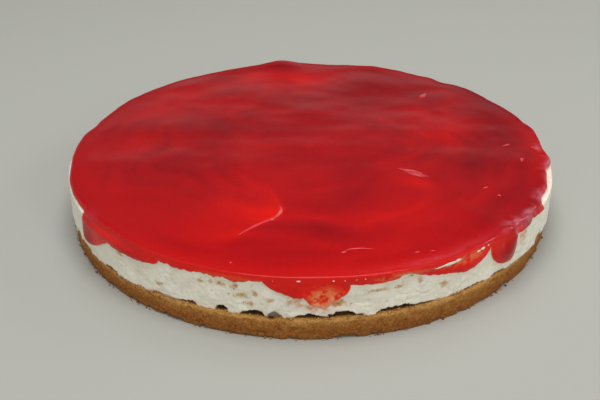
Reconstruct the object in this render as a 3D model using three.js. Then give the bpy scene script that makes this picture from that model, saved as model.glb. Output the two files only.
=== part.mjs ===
// A whole, uncut cream cheesecake: a flat biscuit base, a thick white cream layer and a red jelly
// topping that has run over the edge in tongues. Millimetres, +Z up. The origin is the middle of
// the flat underside, and the best side faces -Y.
import * as THREE from "three";

// Driving sizes
const creamRadius = 129.1;
const biscuitRadius = 130.6;
const rimRadius = 128.7;
const biscuitTop = 10.7;
const creamTop = 29.7;
const jellyTop = 33.3;
const layerGap = 0.3;
const jellyWall = 1.5;
const jellyLip = 0.45;
const jellySwell = 2.6;
const biscuitFootArris = 0.4;
const biscuitLedge = 1.7;
const biscuitCrumb = 0.3;
const creamTear = 0.35;
const creamTearFade = 2;
const jellyRaggedness = 0.35;
const rimStart = 1.2;
const shoulderRise = 0.6;
const edgeBelowTop = 0.2;
const unevenness = 0.35;

// Tongues of jelly that ran down the side: angle and reach to either side in degrees, drop in mm.
// Fullness 1 gives a straight slope, 2 a round tongue and 5 a square step.
const tongues = [
  { at: -144.3, drop: 12.9, left: 3.8, right: 9.5, fullLeft: 2.6, fullRight: 1.3 },
  { at: -131, drop: 5.3, left: 9, right: 9.4, fullLeft: 2.2, fullRight: 2.8 },
  { at: -110, drop: 0.9, left: 13, right: 11, fullLeft: 2, fullRight: 2 },
  { at: -90.6, drop: 8.2, left: 8.4, right: 8.6, fullLeft: 1.5, fullRight: 3.2 },
  { at: -88, drop: 13.4, left: 4.4, right: 4.6, fullLeft: 1.7, fullRight: 1.3 },
  { at: -77.5, drop: 2.6, left: 5.5, right: 5.8, fullLeft: 3, fullRight: 3 },
  { at: -56.4, drop: 7.9, left: 13.5, right: 6.6, fullLeft: 1.25, fullRight: 1.8 },
  { at: -43.2, drop: 14.9, left: 6.4, right: 2.5, fullLeft: 2, fullRight: 3.4 },
  { at: -31, drop: 1.2, left: 5, right: 4, fullLeft: 1.5, fullRight: 1.5 },
];
// The tongues on the far side follow a rule: golden-ratio steps spread their places and drops.
const farTongueCount = 9;
const farTongueFirst = 2;
const farTongueSpacing = 20;
const goldenStep = 0.618034;
for (let k = 0; k < farTongueCount; k++) {
  const share = (k * goldenStep) % 1;
  const turned = (k * goldenStep * goldenStep + 0.35) % 1;
  tongues.push({
    at: farTongueFirst + farTongueSpacing * (k + 0.5 * turned),
    drop: 1.6 + 7.6 * share * share,
    left: 4.5 + 4 * turned,
    right: 8 - 3.5 * turned,
    fullLeft: 1.3 + 1.2 * share,
    fullRight: 2.5 - 1.1 * share,
  });
}

// Places where a layer's side stands out or in: angle and width in degrees, outward mm. The sides
// of the base and the cream lean to the right, and at the left the cream hangs over the base.
const biscuitSwells = [
  { at: -172, wide: 14, out: -1.5 },
  { at: -20, wide: 20, out: -0.5 },
];
const creamSwells = [
  { at: -172, wide: 26, out: 1.7 },
  { at: -134, wide: 18, out: 1.0 },
  { at: -22, wide: 20, out: 2.9 },
  { at: 4, wide: 12, out: 1.3 },
];
// The same for the jelly's rim, which also rises in places, in mm.
const rimSwells = [
  { at: -90, wide: 45, out: 2.1, rise: 0 },
  { at: -63, wide: 13, out: 1.2, rise: 0 },
  { at: -31, wide: 4, out: 1.6, rise: 0 },
  { at: -19, wide: 8, out: -0.6, rise: -0.3 },
  { at: -6, wide: 4, out: 2.0, rise: 0 },
  { at: 9, wide: 5, out: 1.8, rise: 0 },
  { at: 40, wide: 5, out: 1.3, rise: 0.2 },
  { at: 48, wide: 2.5, out: -1.6, rise: 0 },
  { at: 52.5, wide: 3, out: 0.8, rise: 0 },
  { at: 62, wide: 4, out: 0.7, rise: 0 },
  { at: 70.5, wide: 4, out: 1.2, rise: 0.3 },
  { at: 84, wide: 4, out: -1.2, rise: 0 },
  { at: 98.5, wide: 5.5, out: 2.6, rise: 1.6 },
  { at: 120, wide: 6, out: -1.0, rise: 0 },
  { at: 159, wide: 9, out: -1.5, rise: -0.1 },
  { at: 168, wide: 3, out: -1.2, rise: 0 },
];

// Hollows in the cream's foot where it did not meet the base: angle, half width in degrees,
// height and depth in mm.
const creamHollows = [
  { at: -154.0, wide: 1.9, high: 3.4, deep: 2.4 },
  { at: -137.0, wide: 2.4, high: 1.8, deep: 1.5 },
  { at: -114.6, wide: 1.3, high: 2.0, deep: 2.6 },
  { at: -107.6, wide: 1.7, high: 4.0, deep: 3.4 },
  { at: -100.8, wide: 2.2, high: 3.1, deep: 4.0 },
  { at: -97.0, wide: 1.8, high: 3.9, deep: 2.0 },
  { at: -90.2, wide: 3.0, high: 2.1, deep: 3.4 },
  { at: -83.2, wide: 2.8, high: 3.2, deep: 3.6 },
  { at: -73.0, wide: 3.4, high: 4.2, deep: 3.6 },
  { at: -66.4, wide: 3.2, high: 2.2, deep: 2.4 },
  { at: -54.0, wide: 3.0, high: 2.2, deep: 2.2 },
  { at: -46.5, wide: 2.2, high: 3.4, deep: 2.6 },
];
const farHollowCount = 16;
for (let k = 0; k < farHollowCount; k++) {
  const share = (k * goldenStep + 0.2) % 1;
  creamHollows.push({
    at: -30 + (235 / farHollowCount) * (k + 0.6 * share),
    wide: 1.4 + 1.8 * share,
    high: 3.8 - 1.8 * share,
    deep: 1.8 + 2 * share,
  });
}

const radians = (degrees) => (degrees * Math.PI) / 180;

// Signed difference of two angles in degrees, from -180 to 180.
const turnBetween = (a, b) => ((((a - b + 180) % 360) + 360) % 360) - 180;

// A slow, repeatable wobble round the cake, about -1 to 1: three waves whose counts set its pace.
const wobble = (angle, counts, phase) =>
  counts.reduce((sum, n, i) => sum + Math.sin(radians(n * angle) + phase * (i + 1)), 0) /
  Math.sqrt(counts.length * 2);

// Small random numbers from -1 to 1 that come out the same on each run.
function seeded(seed) {
  let state = seed;
  return () => {
    state = (state + 0x6d2b79f5) | 0;
    let t = Math.imul(state ^ (state >>> 15), 1 | state);
    t = (t + Math.imul(t ^ (t >>> 7), 61 | t)) ^ t;
    return ((t ^ (t >>> 14)) >>> 0) / 2147483648 - 1;
  };
}

// Height of the jelly's lower edge on the side at an angle.
function jellyEdge(angle) {
  let drop = 0;
  for (const t of tongues) {
    const turn = turnBetween(angle, t.at);
    const share = Math.abs(turn) / (turn < 0 ? t.left : t.right);
    const full = turn < 0 ? t.fullLeft : t.fullRight;
    if (share < 1) drop = Math.max(drop, t.drop * (1 - share ** full) ** (1 / full));
  }
  const ragged = wobble(angle, [23, 37, 51], 1.7) + wobble(angle, [5, 8, 11], 0.6);
  const edge = creamTop - drop + jellyRaggedness * (ragged - 0.3);
  return Math.min(edge, creamTop - edgeBelowTop);
}

const bell = (angle, { at, wide }) => Math.exp(-((turnBetween(angle, at) / wide) ** 2));
const swell = (angle, swells) => swells.reduce((sum, s) => sum + s.out * bell(angle, s), 0);
const biscuitSurface = (angle) => biscuitTop + 0.5 * Math.sin(radians(angle + 85));
const biscuitWall = (angle) =>
  biscuitRadius + swell(angle, biscuitSwells) + unevenness * wobble(angle, [4, 7, 10], 1.9);
const creamWall = (angle) =>
  creamRadius + swell(angle, creamSwells) + unevenness * wobble(angle, [3, 5, 8], 0.9);
const rimWall = (angle) =>
  rimRadius + swell(angle, rimSwells) + unevenness * wobble(angle, [9, 13, 17], 2.3);

// How far the rim rises at an angle.
const rimRise = (angle) =>
  rimSwells.reduce(
    (sum, s) => sum + s.rise * bell(angle, s),
    0.7 * unevenness * wobble(angle, [4, 6, 9], 1.1),
  );

// Column angles shared by the cream's wall and the jelly's side, in coarse steps, or in fine ones
// where the jelly's edge is steep in mm for each degree.
function columnAngles(coarse, fine, steep) {
  const angles = [];
  let angle = -180;
  while (angle < 180 - fine / 2) {
    angles.push(angle);
    const slope = Math.abs(jellyEdge(angle + coarse) - jellyEdge(angle)) / coarse;
    angle += slope > steep ? fine : coarse;
  }
  return angles;
}
const columns = columnAngles(2.5, 1.25, 0.45);
const evenAngles = (count) => Array.from({ length: count }, (_, i) => -180 + (360 * i) / count);

// A ring of points: place(angle) gives [radius, height].
function ring(angles, place) {
  return angles.map((angle) => {
    const [radius, height] = place(angle);
    const turn = radians(angle);
    return { angle, point: [radius * Math.cos(turn), radius * Math.sin(turn), height] };
  });
}

// One closed solid from rings that run from the middle of its underside, out, up and back in to
// the middle of its top. Two rings may differ in count: each step takes the nearer next point.
function solidOfRings(rings) {
  const positions = [];
  const faces = [];
  const starts = rings.map((points) => {
    const start = positions.length / 3;
    points.forEach((p) => positions.push(...p.point));
    return start;
  });
  for (let r = 0; r + 1 < rings.length; r++) {
    const [low, high] = [rings[r], rings[r + 1]];
    const at = (points, i) => points[i % points.length].angle + 360 * Math.floor(i / points.length);
    let i = 0;
    let j = 0;
    while (i < low.length || j < high.length) {
      const a = starts[r] + (i % low.length);
      const b = starts[r + 1] + (j % high.length);
      const lowStep = at(low, i + 1) - at(high, j);
      const highStep = at(high, j + 1) - at(low, i);
      if (j >= high.length || (i < low.length && lowStep <= highStep)) {
        faces.push(a, starts[r] + ((i + 1) % low.length), b);
        i++;
      } else {
        faces.push(a, starts[r + 1] + ((j + 1) % high.length), b);
        j++;
      }
    }
  }
  capRing(rings[0].length, starts[0], faces, false);
  capRing(rings.at(-1).length, starts.at(-1), faces, true);
  const geometry = new THREE.BufferGeometry();
  geometry.setAttribute("position", new THREE.Float32BufferAttribute(positions, 3));
  geometry.setIndex(faces);
  geometry.computeVertexNormals();
  return geometry;
}

// Closes a small flat end ring with a fan from its first point.
function capRing(count, start, faces, facesUp) {
  for (let i = 1; i + 1 < count; i++) {
    if (facesUp) faces.push(start, start + i, start + i + 1);
    else faces.push(start, start + i + 1, start + i);
  }
}

function namedMesh(name, geometry, colour, roughness) {
  const mesh = new THREE.Mesh(
    geometry,
    new THREE.MeshStandardMaterial({ color: colour, roughness, metalness: 0 }),
  );
  mesh.name = name;
  return mesh;
}

// Flat disc rings that run outwards at a height, from a three-point middle, with ever more points.
const discSteps = [
  [4, 3],
  [22, 14],
  [50, 36],
  [86, 66],
];
const discRings = (height) =>
  discSteps.map(([radius, count]) => ring(evenAngles(count), () => [radius, height]));

// The biscuit base: a pressed crumb disc with a crumbly, uneven side and a small ledge on top.
function biscuitBase() {
  const crumble = seeded(11);
  const crumb = () => biscuitCrumb * crumble();
  const side = evenAngles(150);
  const wall = (share) =>
    ring(side, (angle) => [biscuitWall(angle) + crumb(), share * biscuitSurface(angle)]);
  const top = discSteps.map(([radius, count]) =>
    ring(evenAngles(count), (angle) => [radius, biscuitSurface(angle)]),
  );
  return solidOfRings([
    ...discRings(0),
    ring(side, (angle) => [biscuitWall(angle) - biscuitFootArris, 0]),
    ...[0.07, 0.3, 0.55, 0.78].map(wall),
    ring(side, (angle) => [
      biscuitWall(angle) - 0.3 * biscuitLedge + crumb(),
      biscuitSurface(angle) - 0.4 * biscuitLedge + 0.5 * crumb(),
    ]),
    ring(side, (angle) => [biscuitWall(angle) - biscuitLedge + crumb(), biscuitSurface(angle)]),
    ...top.reverse(),
  ]);
}

// The cream layer: a straight wall with hollows along its foot, and torn relief that fades out
// towards the jelly so that the two surfaces stay parallel.
function creamFilling() {
  const torn = seeded(23);
  const hollowDepth = (angle, rise) => {
    let depth = 0;
    for (const h of creamHollows) {
      const across = turnBetween(angle, h.at) / h.wide;
      const up = rise / h.high;
      const left = 1 - across * across - up * up;
      if (left > 0) depth = Math.max(depth, h.deep * Math.sqrt(left));
    }
    return depth;
  };
  const foot = (angle) => biscuitSurface(angle) + layerGap;
  const wall = (share) =>
    ring(columns, (angle) => {
      const height = foot(angle) + share * (creamTop - foot(angle));
      const below = jellyEdge(angle) - height - creamTearFade;
      const relief = creamTear * torn() * THREE.MathUtils.clamp(below / creamTearFade, 0, 1);
      return [creamWall(angle) - hollowDepth(angle, height - foot(angle)) + relief, height];
    });
  const underside = discSteps.map(([radius, count]) =>
    ring(evenAngles(count), (angle) => [radius, biscuitSurface(angle) + layerGap]),
  );
  return solidOfRings([
    ...underside,
    ring(columns, (angle) => [creamRadius - 7, foot(angle)]),
    ...[0, 0.08, 0.18, 0.3, 0.48, 0.7, 1].map(wall),
    ...discRings(creamTop).reverse(),
  ]);
}

// The jelly: a sheet over the cream with a soft rim, and tongues that hang down the side. Its
// thickness swells from a thin lip at the free edge to the full wall a few millimetres in.
function jellyTopping() {
  const edgePoints = columns.map((angle) => {
    const along = radians(angle) * creamRadius;
    return [along, jellyEdge(angle)];
  });
  const turnLength = 2 * Math.PI * creamRadius;
  const distanceToEdge = (angle, height) => {
    const along = radians(angle) * creamRadius;
    let nearest = Infinity;
    edgePoints.forEach(([x0, z0], i) => {
      const last = i + 1 === edgePoints.length;
      const [x1, z1] = last ? [edgePoints[0][0] + turnLength, edgePoints[0][1]] : edgePoints[i + 1];
      let dx = along - x0;
      dx -= turnLength * Math.round(dx / turnLength);
      const [sx, sz] = [x1 - x0, z1 - z0];
      const t = THREE.MathUtils.clamp((dx * sx + (height - z0) * sz) / (sx * sx + sz * sz), 0, 1);
      nearest = Math.min(nearest, Math.hypot(dx - t * sx, height - z0 - t * sz));
    });
    return nearest;
  };
  const inner = (angle) => creamWall(angle) + layerGap;
  const wallAt = (angle, height) => {
    const near = Math.min(1, distanceToEdge(angle, height) / jellySwell);
    return jellyLip + (jellyWall - jellyLip) * Math.sqrt(1 - (1 - near) ** 2);
  };
  const rimFoot = creamTop + rimStart;
  // The outer side leans from the wall at the free edge to the rim. Up to the cream's shoulder it
  // stays outside the cream, and above it the rim may stand further in.
  const outside = (share) =>
    ring(columns, (angle) => {
      const edge = jellyEdge(angle);
      const height = edge + share * (creamTop + shoulderRise - edge);
      const up = (height - edge) / (rimFoot - edge);
      const lean = (rimWall(angle) - inner(angle) - jellyWall) * up ** 1.5;
      const radius = inner(angle) + wallAt(angle, height) + lean;
      return [Math.max(radius, inner(angle) + jellyLip), height];
    });
  const inside = (share) =>
    ring(columns, (angle) => {
      const height = jellyEdge(angle) + share * (creamTop + layerGap - jellyEdge(angle));
      return [inner(angle), Math.min(height, creamTop + layerGap)];
    });
  const rim = (inset, below) =>
    ring(columns, (angle) => [rimWall(angle) - inset, jellyTop + rimRise(angle) - below]);
  const topHeight = (radius, angle) => {
    const share = radius / creamRadius;
    const rise = rimRise(angle) * share ** 6;
    return jellyTop + rise + unevenness * share * wobble(angle + 2 * radius, [2, 3, 5], 0.4);
  };
  const topRings = [
    [116, 96],
    [98, 72],
    [76, 54],
    [52, 36],
    [30, 22],
    [12, 9],
    [3, 3],
  ].map(([radius, count]) =>
    ring(evenAngles(count), (angle) => [radius, topHeight(radius, angle)]),
  );
  return solidOfRings([
    ...discRings(creamTop + layerGap),
    inside(1),
    inside(0.5),
    inside(0),
    outside(0),
    outside(0.45),
    outside(1),
    rim(0, jellyTop - rimFoot),
    rim(0.3, 1.1),
    rim(1.5, 0.25),
    rim(5, 0),
    ...topRings,
  ]);
}

const cheesecake = new THREE.Group();
cheesecake.add(
  namedMesh("biscuit_base", biscuitBase(), 0xa2703a, 0.95),
  namedMesh("cream_filling", creamFilling(), 0xe9e2cf, 0.6),
  namedMesh("jelly_topping", jellyTopping(), 0xb4161a, 0.12),
);

export default cheesecake;
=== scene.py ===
import math
import bpy
import numpy as np
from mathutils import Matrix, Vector


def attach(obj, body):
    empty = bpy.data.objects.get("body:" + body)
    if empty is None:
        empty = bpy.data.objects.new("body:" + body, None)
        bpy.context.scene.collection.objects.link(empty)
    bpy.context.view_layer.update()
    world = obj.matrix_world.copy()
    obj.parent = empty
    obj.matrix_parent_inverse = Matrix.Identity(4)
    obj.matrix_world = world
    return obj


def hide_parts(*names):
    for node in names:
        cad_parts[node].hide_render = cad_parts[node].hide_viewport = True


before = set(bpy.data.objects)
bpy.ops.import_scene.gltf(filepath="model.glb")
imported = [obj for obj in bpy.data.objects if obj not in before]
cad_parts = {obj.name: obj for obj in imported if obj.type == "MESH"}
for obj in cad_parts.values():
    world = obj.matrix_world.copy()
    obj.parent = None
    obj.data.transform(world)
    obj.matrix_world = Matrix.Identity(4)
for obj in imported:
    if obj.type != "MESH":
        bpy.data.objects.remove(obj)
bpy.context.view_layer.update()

# The camera stands a little over half a metre in front of the cake and looks down at it, with a
# 54 mm lens on a 36 mm frame, as the photograph was taken. Its aim is the middle of the underside,
# which the small shift places a little right of the picture's middle.
CAMERA_DISTANCE = 0.5155
CAMERA_ELEVATION = 28.91
PICTURE_WIDTH = 600
AIM_PIXEL_OFFSET = (9.1, -1.6)


def look_from(thing, azimuth, elevation, distance):
    """Puts a camera or a lamp at a distance in metres from the middle of the underside, at an
    azimuth from the front and an elevation in degrees, and turns it to look back."""
    turn, lift = math.radians(azimuth - 90), math.radians(elevation)
    level = math.cos(lift)
    towards = Vector((level * math.cos(turn), level * math.sin(turn), math.sin(lift)))
    thing.location = towards * distance
    thing.rotation_euler = (-towards).to_track_quat("-Z", "Y").to_euler()
    bpy.context.scene.collection.objects.link(thing)


camera = bpy.data.objects.new("camera", bpy.data.cameras.new("camera"))
look_from(camera, 0, CAMERA_ELEVATION, CAMERA_DISTANCE)
camera.data.sensor_width = 36
camera.data.lens = 54
camera.data.shift_x = -AIM_PIXEL_OFFSET[0] / PICTURE_WIDTH
camera.data.shift_y = AIM_PIXEL_OFFSET[1] / PICTURE_WIDTH
bpy.context.scene.camera = camera
bpy.context.scene.view_settings.view_transform = "Standard"

# The biscuit base is a flat disc of butter-bound crumbs, pressed into a ring tin. Its side shows
# the broken grains, browner half way up, with a paler loose ledge where the ring was lifted off.
# All lengths here are in millimetres, and MM turns them into metres.
MM = 0.001
BISCUIT_RADIUS = 130.6
BISCUIT_TOP = 10.7
BISCUIT_TILT = 0.5
LEDGE_RADIUS = 1.3
UNEVENNESS = 0.35
GRAIN_SIZE = 0.95
GRAIN_HEIGHT = 0.34
# The mesh: columns round the cake, rows up the side and round the arris, and the ledge's rings.
BISCUIT_COLUMNS = 2560
BISCUIT_ROWS = 21
BISCUIT_ARRIS_ROWS = 5
LEDGE_STEPS = (0.5, 1.0, 1.6, 2.3, 3.2, 4.5, 6.5)
# Lumps on the base's side: height, size and seed of each noise.
BISCUIT_LUMPS = [(0.16, 2.6, 4), (0.26, 5.5, 5), (0.3, 15, 6)]
# Where the base's side stands out or in: angle and width in degrees, outward mm. Later tables of
# bells hold the same.
BISCUIT_SWELLS = [(-172, 14, -1.5), (-20, 20, -0.5)]


def wobble(angle, counts, phase):
    """A slow wobble round the cake, about -1 to 1: sine waves of these counts, each with its own
    phase, summed and divided by the root of twice their number."""
    waves = [np.sin(np.radians(n * angle) + phase * (i + 1)) for i, n in enumerate(counts)]
    return sum(waves) / math.sqrt(2 * len(counts))


def turn_between(a, b):
    """Signed difference of two angles in degrees, from -180 to 180."""
    return (a - b + 180) % 360 - 180


def bell(angle, at, wide):
    """A bell curve over the angle, 1 at its middle: e to the minus square of the turn over width."""
    return np.exp(-((turn_between(angle, at) / wide) ** 2))


def swell(angle, swells):
    """The sum of bells at an angle, each times its strength or its outward mm."""
    return sum(out * bell(angle, at, wide) for at, wide, out in swells)


def smooth_step(value, low, high):
    """0 below low, 1 above high, and 3t^2 - 2t^3 between them."""
    share = np.clip((value - low) / (high - low), 0, 1)
    return share * share * (3 - 2 * share)


def lattice(cells, seed):
    """A random number from 0 to 1 for each whole-number cell: its indices times large primes, mixed
    by shifts and a product."""
    mixed = cells @ np.array([374761393, 668265263, 1103515245]) + seed * 362437
    mixed = mixed & 0xFFFFFFFF
    mixed = ((mixed ^ (mixed >> 13)) * 1274126177) & 0xFFFFFFFF
    return ((mixed ^ (mixed >> 16)) & 0xFFFFFF) / 0xFFFFFF


def noise(points, size, seed):
    """Smooth noise, -1 to 1: random numbers at the corners of cells of this size, which may differ
    along each axis, blended by 3t^2 - 2t^3."""
    scaled = points / np.asarray(size, float)
    low = np.floor(scaled).astype(np.int64)
    part = scaled - low
    part = part * part * (3 - 2 * part)
    total = np.zeros(points.shape[:-1])
    for corner in np.ndindex(2, 2, 2):
        weight = np.prod(np.where(np.array(corner, bool), part, 1 - part), axis=-1)
        total += weight * lattice(low + np.array(corner), seed)
    return 2 * total - 1


def layered(points, layers):
    """The sum of several noises, each given by its strength, size and seed."""
    return sum(strength * noise(points, size, seed) for strength, size, seed in layers)


def grains(points, size, seed):
    """Crumb pattern: each cell holds one randomly placed grain. Gives the distance to the nearest
    grain's middle, in cells, and that grain's own random number."""
    scaled = points / size
    home = np.floor(scaled).astype(np.int64)
    nearest = np.full(points.shape[:-1], 9.0)
    own = np.zeros(points.shape[:-1])
    for step in np.ndindex(3, 3, 3):
        cell = home + np.array(step) - 1
        middle = cell + np.stack([lattice(cell, seed + axis) for axis in range(3)], axis=-1)
        distance = np.linalg.norm(scaled - middle, axis=-1)
        closer = distance < nearest
        nearest = np.where(closer, distance, nearest)
        own = np.where(closer, lattice(cell, seed + 3), own)
    return nearest, own


def ring(angle, radius, height):
    """Points at angles in degrees: radius times cosine and sine, and the height."""
    turn = np.radians(angle)
    return np.stack(np.broadcast_arrays(radius * np.cos(turn), radius * np.sin(turn), height), -1)


def angle_of(points):
    """Angle round the cake in degrees."""
    return np.degrees(np.arctan2(points[..., 1], points[..., 0]))


def radius_of(points):
    """Distance from the cake's axis."""
    return np.hypot(points[..., 0], points[..., 1])


def even_angles(count):
    """Angles in degrees, spread evenly from -180."""
    return -180 + 360 * np.arange(count) / count


def facing_out(rows):
    """Outward directions over rows of points: the cross product of the step to the next column and
    the step to the next row, at unit length."""
    along = np.roll(rows, -1, axis=1) - np.roll(rows, 1, axis=1)
    up = np.gradient(rows, axis=0)
    out = np.cross(along, up)
    return out / np.maximum(np.linalg.norm(out, axis=-1, keepdims=True), 1e-9)


def new_object(name, points, faces, material, **values):
    """A mesh object from points in millimetres, with one float attribute for each value."""
    mesh = bpy.data.meshes.new(name)
    mesh.from_pydata((points * MM).tolist(), [], faces)
    mesh.materials.append(material)
    for label, numbers in values.items():
        mesh.attributes.new(label, "FLOAT", "POINT").data.foreach_set("value", numbers)
    thing = bpy.data.objects.new(name, mesh)
    bpy.context.scene.collection.objects.link(thing)
    return thing


def new_piece(name, points, faces, material, node_slot, **values):
    """A smooth mesh object that belongs to the cake."""
    piece = new_object(name, points, faces, material, **values)
    piece.data.shade_smooth()
    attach(piece, "root")
    return piece


def solid_of_rings(rings):
    """Points and faces of one closed skin through rings from the middle of the underside, out, up
    and in to the middle of the top. Quads join rings of equal counts, three triangles join each
    pair of points where one ring has twice as many, and a middle point closes each end."""
    starts = np.cumsum([0] + [len(points) for points in rings])
    faces = []
    for a, b, low, high in zip(starts, starts[1:], rings, rings[1:]):
        i = np.arange(min(len(low), len(high)))
        j = (i + 1) % len(i)
        even, odd, after = 2 * i, 2 * i + 1, 2 * j
        if len(low) == len(high):
            joins = [(a + i, a + j, b + j, b + i)]
        elif len(low) > len(high):
            joins = [(a + even, a + odd, b + i), (a + odd, b + j, b + i), (a + odd, a + after, b + j)]
        else:
            joins = [(a + i, b + odd, b + even), (a + i, a + j, b + odd), (a + j, b + after, b + odd)]
        for corners in joins:
            faces += np.stack(corners, 1).tolist()
    first, last, end = np.arange(len(rings[0])), np.arange(len(rings[-1])), starts[-1]
    below, above = np.full_like(first, end), np.full_like(last, end + 1)
    faces += np.stack([below, np.roll(first, -1), first], 1).tolist()
    faces += np.stack([starts[-2] + last, starts[-2] + np.roll(last, -1), above], 1).tolist()
    ends = [rings[0].mean(axis=0), rings[-1].mean(axis=0)]
    return np.concatenate([*rings, ends]), faces


def hidden_disc(angles, outer_radius, height):
    """Rings of a disc that nothing shows, from the middle outwards: each has half the points and
    three quarters of the radius of the next one out."""
    rings = []
    radius = outer_radius
    while len(angles) > 16:
        angles = angles[::2]
        radius *= 0.75
        rings.append(ring(angles, radius, height(angles)))
    return rings[::-1]


def rounded_rows(angle, wall, top, rounding, count):
    """Rings round an arris: the wall less the rounding times 1 - cos, and the top less the rounding
    times 1 - sin, of even turns up to a quarter circle."""
    return [
        ring(angle, wall - rounding * (1 - math.cos(turn)), top - rounding * (1 - math.sin(turn)))
        for turn in np.linspace(0, math.pi / 2, count)[1:]
    ]


def new_layer(name, under, rows, over, material, node_slot, fill, **values):
    """A piece of rows between two hidden discs. The values belong to the rows, and the hidden
    points take the fill."""
    points, faces = solid_of_rings([*under, *rows, *over])
    hidden = (sum(map(len, under)), sum(map(len, over)) + 2)
    values = {k: np.pad(v.ravel(), hidden, constant_values=fill) for k, v in values.items()}
    return new_piece(name, points, faces, material, node_slot, **values)


def linear(hex_colour):
    """Linear red, green, blue and alpha 1 of an sRGB hex colour: the sRGB curve undone."""
    parts = [int(hex_colour[i : i + 2], 16) / 255 for i in (1, 3, 5)]
    return [((p + 0.055) / 1.055) ** 2.4 if p > 0.04045 else p / 12.92 for p in parts] + [1]


def add_node(material, kind, inputs=(), stops=(), **settings):
    """Adds one node: its settings, its inputs as values or as links, and a colour ramp's stops."""
    node = material.node_tree.nodes.new(kind)
    for label, value in settings.items():
        setattr(node, label, value)
    for label, value in dict(inputs).items():
        if isinstance(value, bpy.types.NodeSocket):
            material.node_tree.links.new(value, node.inputs[label])
        else:
            node.inputs[label].default_value = value
    for index, (place, colour) in enumerate(stops):
        ramp = node.color_ramp.elements
        stop = ramp[index] if index < len(ramp) else ramp.new(place)
        stop.position, stop.color = place, linear(colour)
    return node


def emptied(material):
    """The same material or world with an empty node tree."""
    material.use_nodes = True
    material.node_tree.nodes.clear()
    return material


def place_in(material):
    """Where a point lies on the cake, in metres."""
    return add_node(material, "ShaderNodeTexCoord").outputs["Object"]


def attribute(material, name):
    """One of the values that each point of a piece carries."""
    return add_node(material, "ShaderNodeAttribute", attribute_name=name).outputs["Fac"]


def clouds(material, scale, detail, roughness):
    """Soft noise from 0 to 1 with this many cells to the metre: 1000 gives cells of 1 mm."""
    inputs = {"Scale": scale, "Detail": detail, "Roughness": roughness}
    inputs["Vector"] = place_in(material)
    return add_node(material, "ShaderNodeTexNoise", inputs).outputs["Fac"]


def moved(material, value, cloud, reach):
    """A value that a cloud raises by up to its reach."""
    inputs = {0: cloud, 1: reach, 2: value}
    return add_node(material, "ShaderNodeMath", inputs, operation="MULTIPLY_ADD").outputs[0]


def remapped(material, value, start, end, low=0, high=1):
    """A value moved from the range start to end to the range low to high, and held in it."""
    inputs = {"Value": value, "From Min": start, "From Max": end, "To Min": low, "To Max": high}
    return add_node(material, "ShaderNodeMapRange", inputs).outputs["Result"]


def coloured(material, value, stops):
    """The colour of a value: blended between the stops."""
    return add_node(material, "ShaderNodeValToRGB", {"Fac": value}, stops).outputs["Color"]


def blended(material, factor, a, b):
    """Colour a mixed with this share of colour b."""
    inputs = {"Factor": factor, "A": a, "B": b}
    return add_node(material, "ShaderNodeMix", inputs, data_type="RGBA").outputs["Result"]


def bumpy(material, height, distance, strength):
    """The surface's direction, tilted as if the height stood this many mm out of it."""
    inputs = {"Height": height, "Distance": distance * MM, "Strength": strength}
    return add_node(material, "ShaderNodeBump", inputs).outputs["Normal"]


def set_skin(material, looks, kind="BsdfPrincipled", owner="Material"):
    """Ends a material with one physical skin of these looks, or a world with its background."""
    skin = add_node(material, "ShaderNode" + kind, looks)
    output = add_node(material, "ShaderNodeOutput" + owner)
    material.node_tree.links.new(skin.outputs[0], output.inputs[0])


def biscuit_surface(angle):
    """Height of the base's top at an angle: it is slightly tilted, and highest at the right."""
    return BISCUIT_TOP + BISCUIT_TILT * np.sin(np.radians(angle + 85))


def biscuit_wall(angle):
    """Radius of the base's side at an angle."""
    uneven = UNEVENNESS * wobble(angle, [4, 7, 10], 1.9)
    return BISCUIT_RADIUS + swell(angle, BISCUIT_SWELLS) + uneven


def biscuit_base():
    """The base as a solid of rings: flat underside, side, rounded arris, ledge. The grains' domes
    and lumps push its side out, and broken-off crumbs in, most of all at the foot. A painted
    shade darkens it by how far a point lies in under the cream."""
    angle = even_angles(BISCUIT_COLUMNS)
    wall, top = biscuit_wall(angle), biscuit_surface(angle)
    shares = np.linspace(0, 1, BISCUIT_ROWS)
    rows = [ring(angle, wall, share * (top - LEDGE_RADIUS)) for share in shares]
    rows += rounded_rows(angle, wall, top, LEDGE_RADIUS, BISCUIT_ARRIS_ROWS)
    rows += [ring(angle, wall - LEDGE_RADIUS - step, top) for step in LEDGE_STEPS]
    rows = np.array(rows)
    nearest, own = grains(rows, GRAIN_SIZE, 3)
    fine, fine_own = grains(rows, GRAIN_SIZE / 2, 9)
    domes = GRAIN_HEIGHT * (0.55 - nearest + 0.3 * (0.5 - fine))
    broken_off = 0.8 * smooth_step(noise(rows, 2.9, 7), 0.45, 0.8)
    worn = 0.5 + 1.6 * smooth_step(noise(rows, 4, 8), 0, 0.8)
    push = domes + layered(rows, BISCUIT_LUMPS) - broken_off - worn * np.exp(-rows[..., 2] / 1.4)
    rows = rows + facing_out(rows) * push[..., None]
    rows[0, :, 2] = 0
    rows[..., 2] = np.maximum(rows[..., 2], 0)
    return new_layer(
        "biscuit_base_crumb",
        hidden_disc(angle, BISCUIT_RADIUS, lambda turn: 0),
        rows,
        hidden_disc(angle, BISCUIT_RADIUS, biscuit_surface)[::-1],
        biscuit_crumb,
        "biscuit",
        fill=0.5,
        # The crumb value, the distance from the nearest grain's middle, also sets painted shade
        # between the grains.
        crumb=0.65 * nearest + 0.35 * fine,
        tone=0.6 * own + 0.4 * fine_own,
        # Painted shade: how far a point lies in under the cream, where the base is darkened.
        shelter=smooth_step(wall - radius_of(rows), 1.8, 3.4),
    )


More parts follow.
